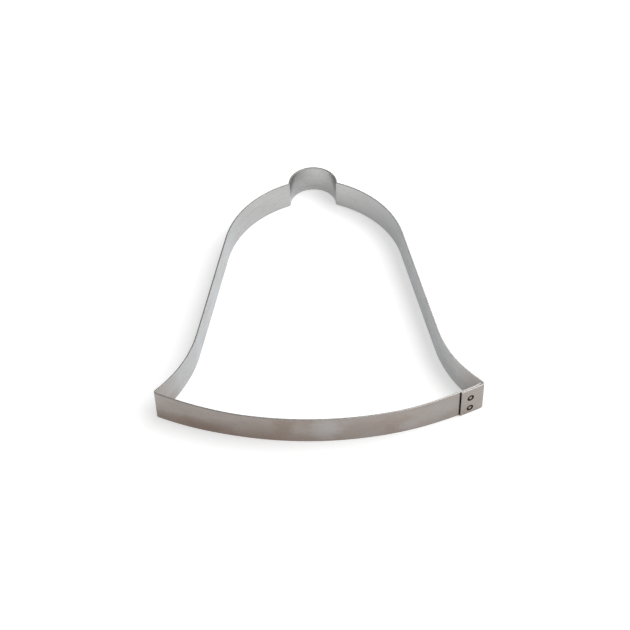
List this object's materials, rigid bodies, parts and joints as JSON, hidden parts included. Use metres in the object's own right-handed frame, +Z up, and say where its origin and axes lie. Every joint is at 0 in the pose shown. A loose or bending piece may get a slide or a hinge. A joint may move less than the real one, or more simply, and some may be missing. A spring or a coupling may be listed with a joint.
{
  "type": "cookie cutter",
  "caption": "Bell-shaped cookie cutter: an upright band of thin stainless steel strip, open above and below, its ends lapped and spot welded at one lip.",
  "frame": {"origin": "on the lower rim's plane, under the middle of the cutter's bounding box", "axes": "+X to the right, seen from the mouth; +Y from the mouth towards the knob, along the bell; +Z up, across the strip's width"},
  "size_m": [0.198, 0.2254, 0.02],
  "materials": {
    "strip_steel": "mill-finished stainless strip, faintly grained along its length and smudged from handling",
    "weld_steel": "pressed electrode mark, browned by heat round a paler centre"
  },
  "bodies": {
    "cutter": {"bell_strip": "strip_steel", "upper_spot_weld": "weld_steel", "lower_spot_weld": "weld_steel"}
  },
  "joints": []
}
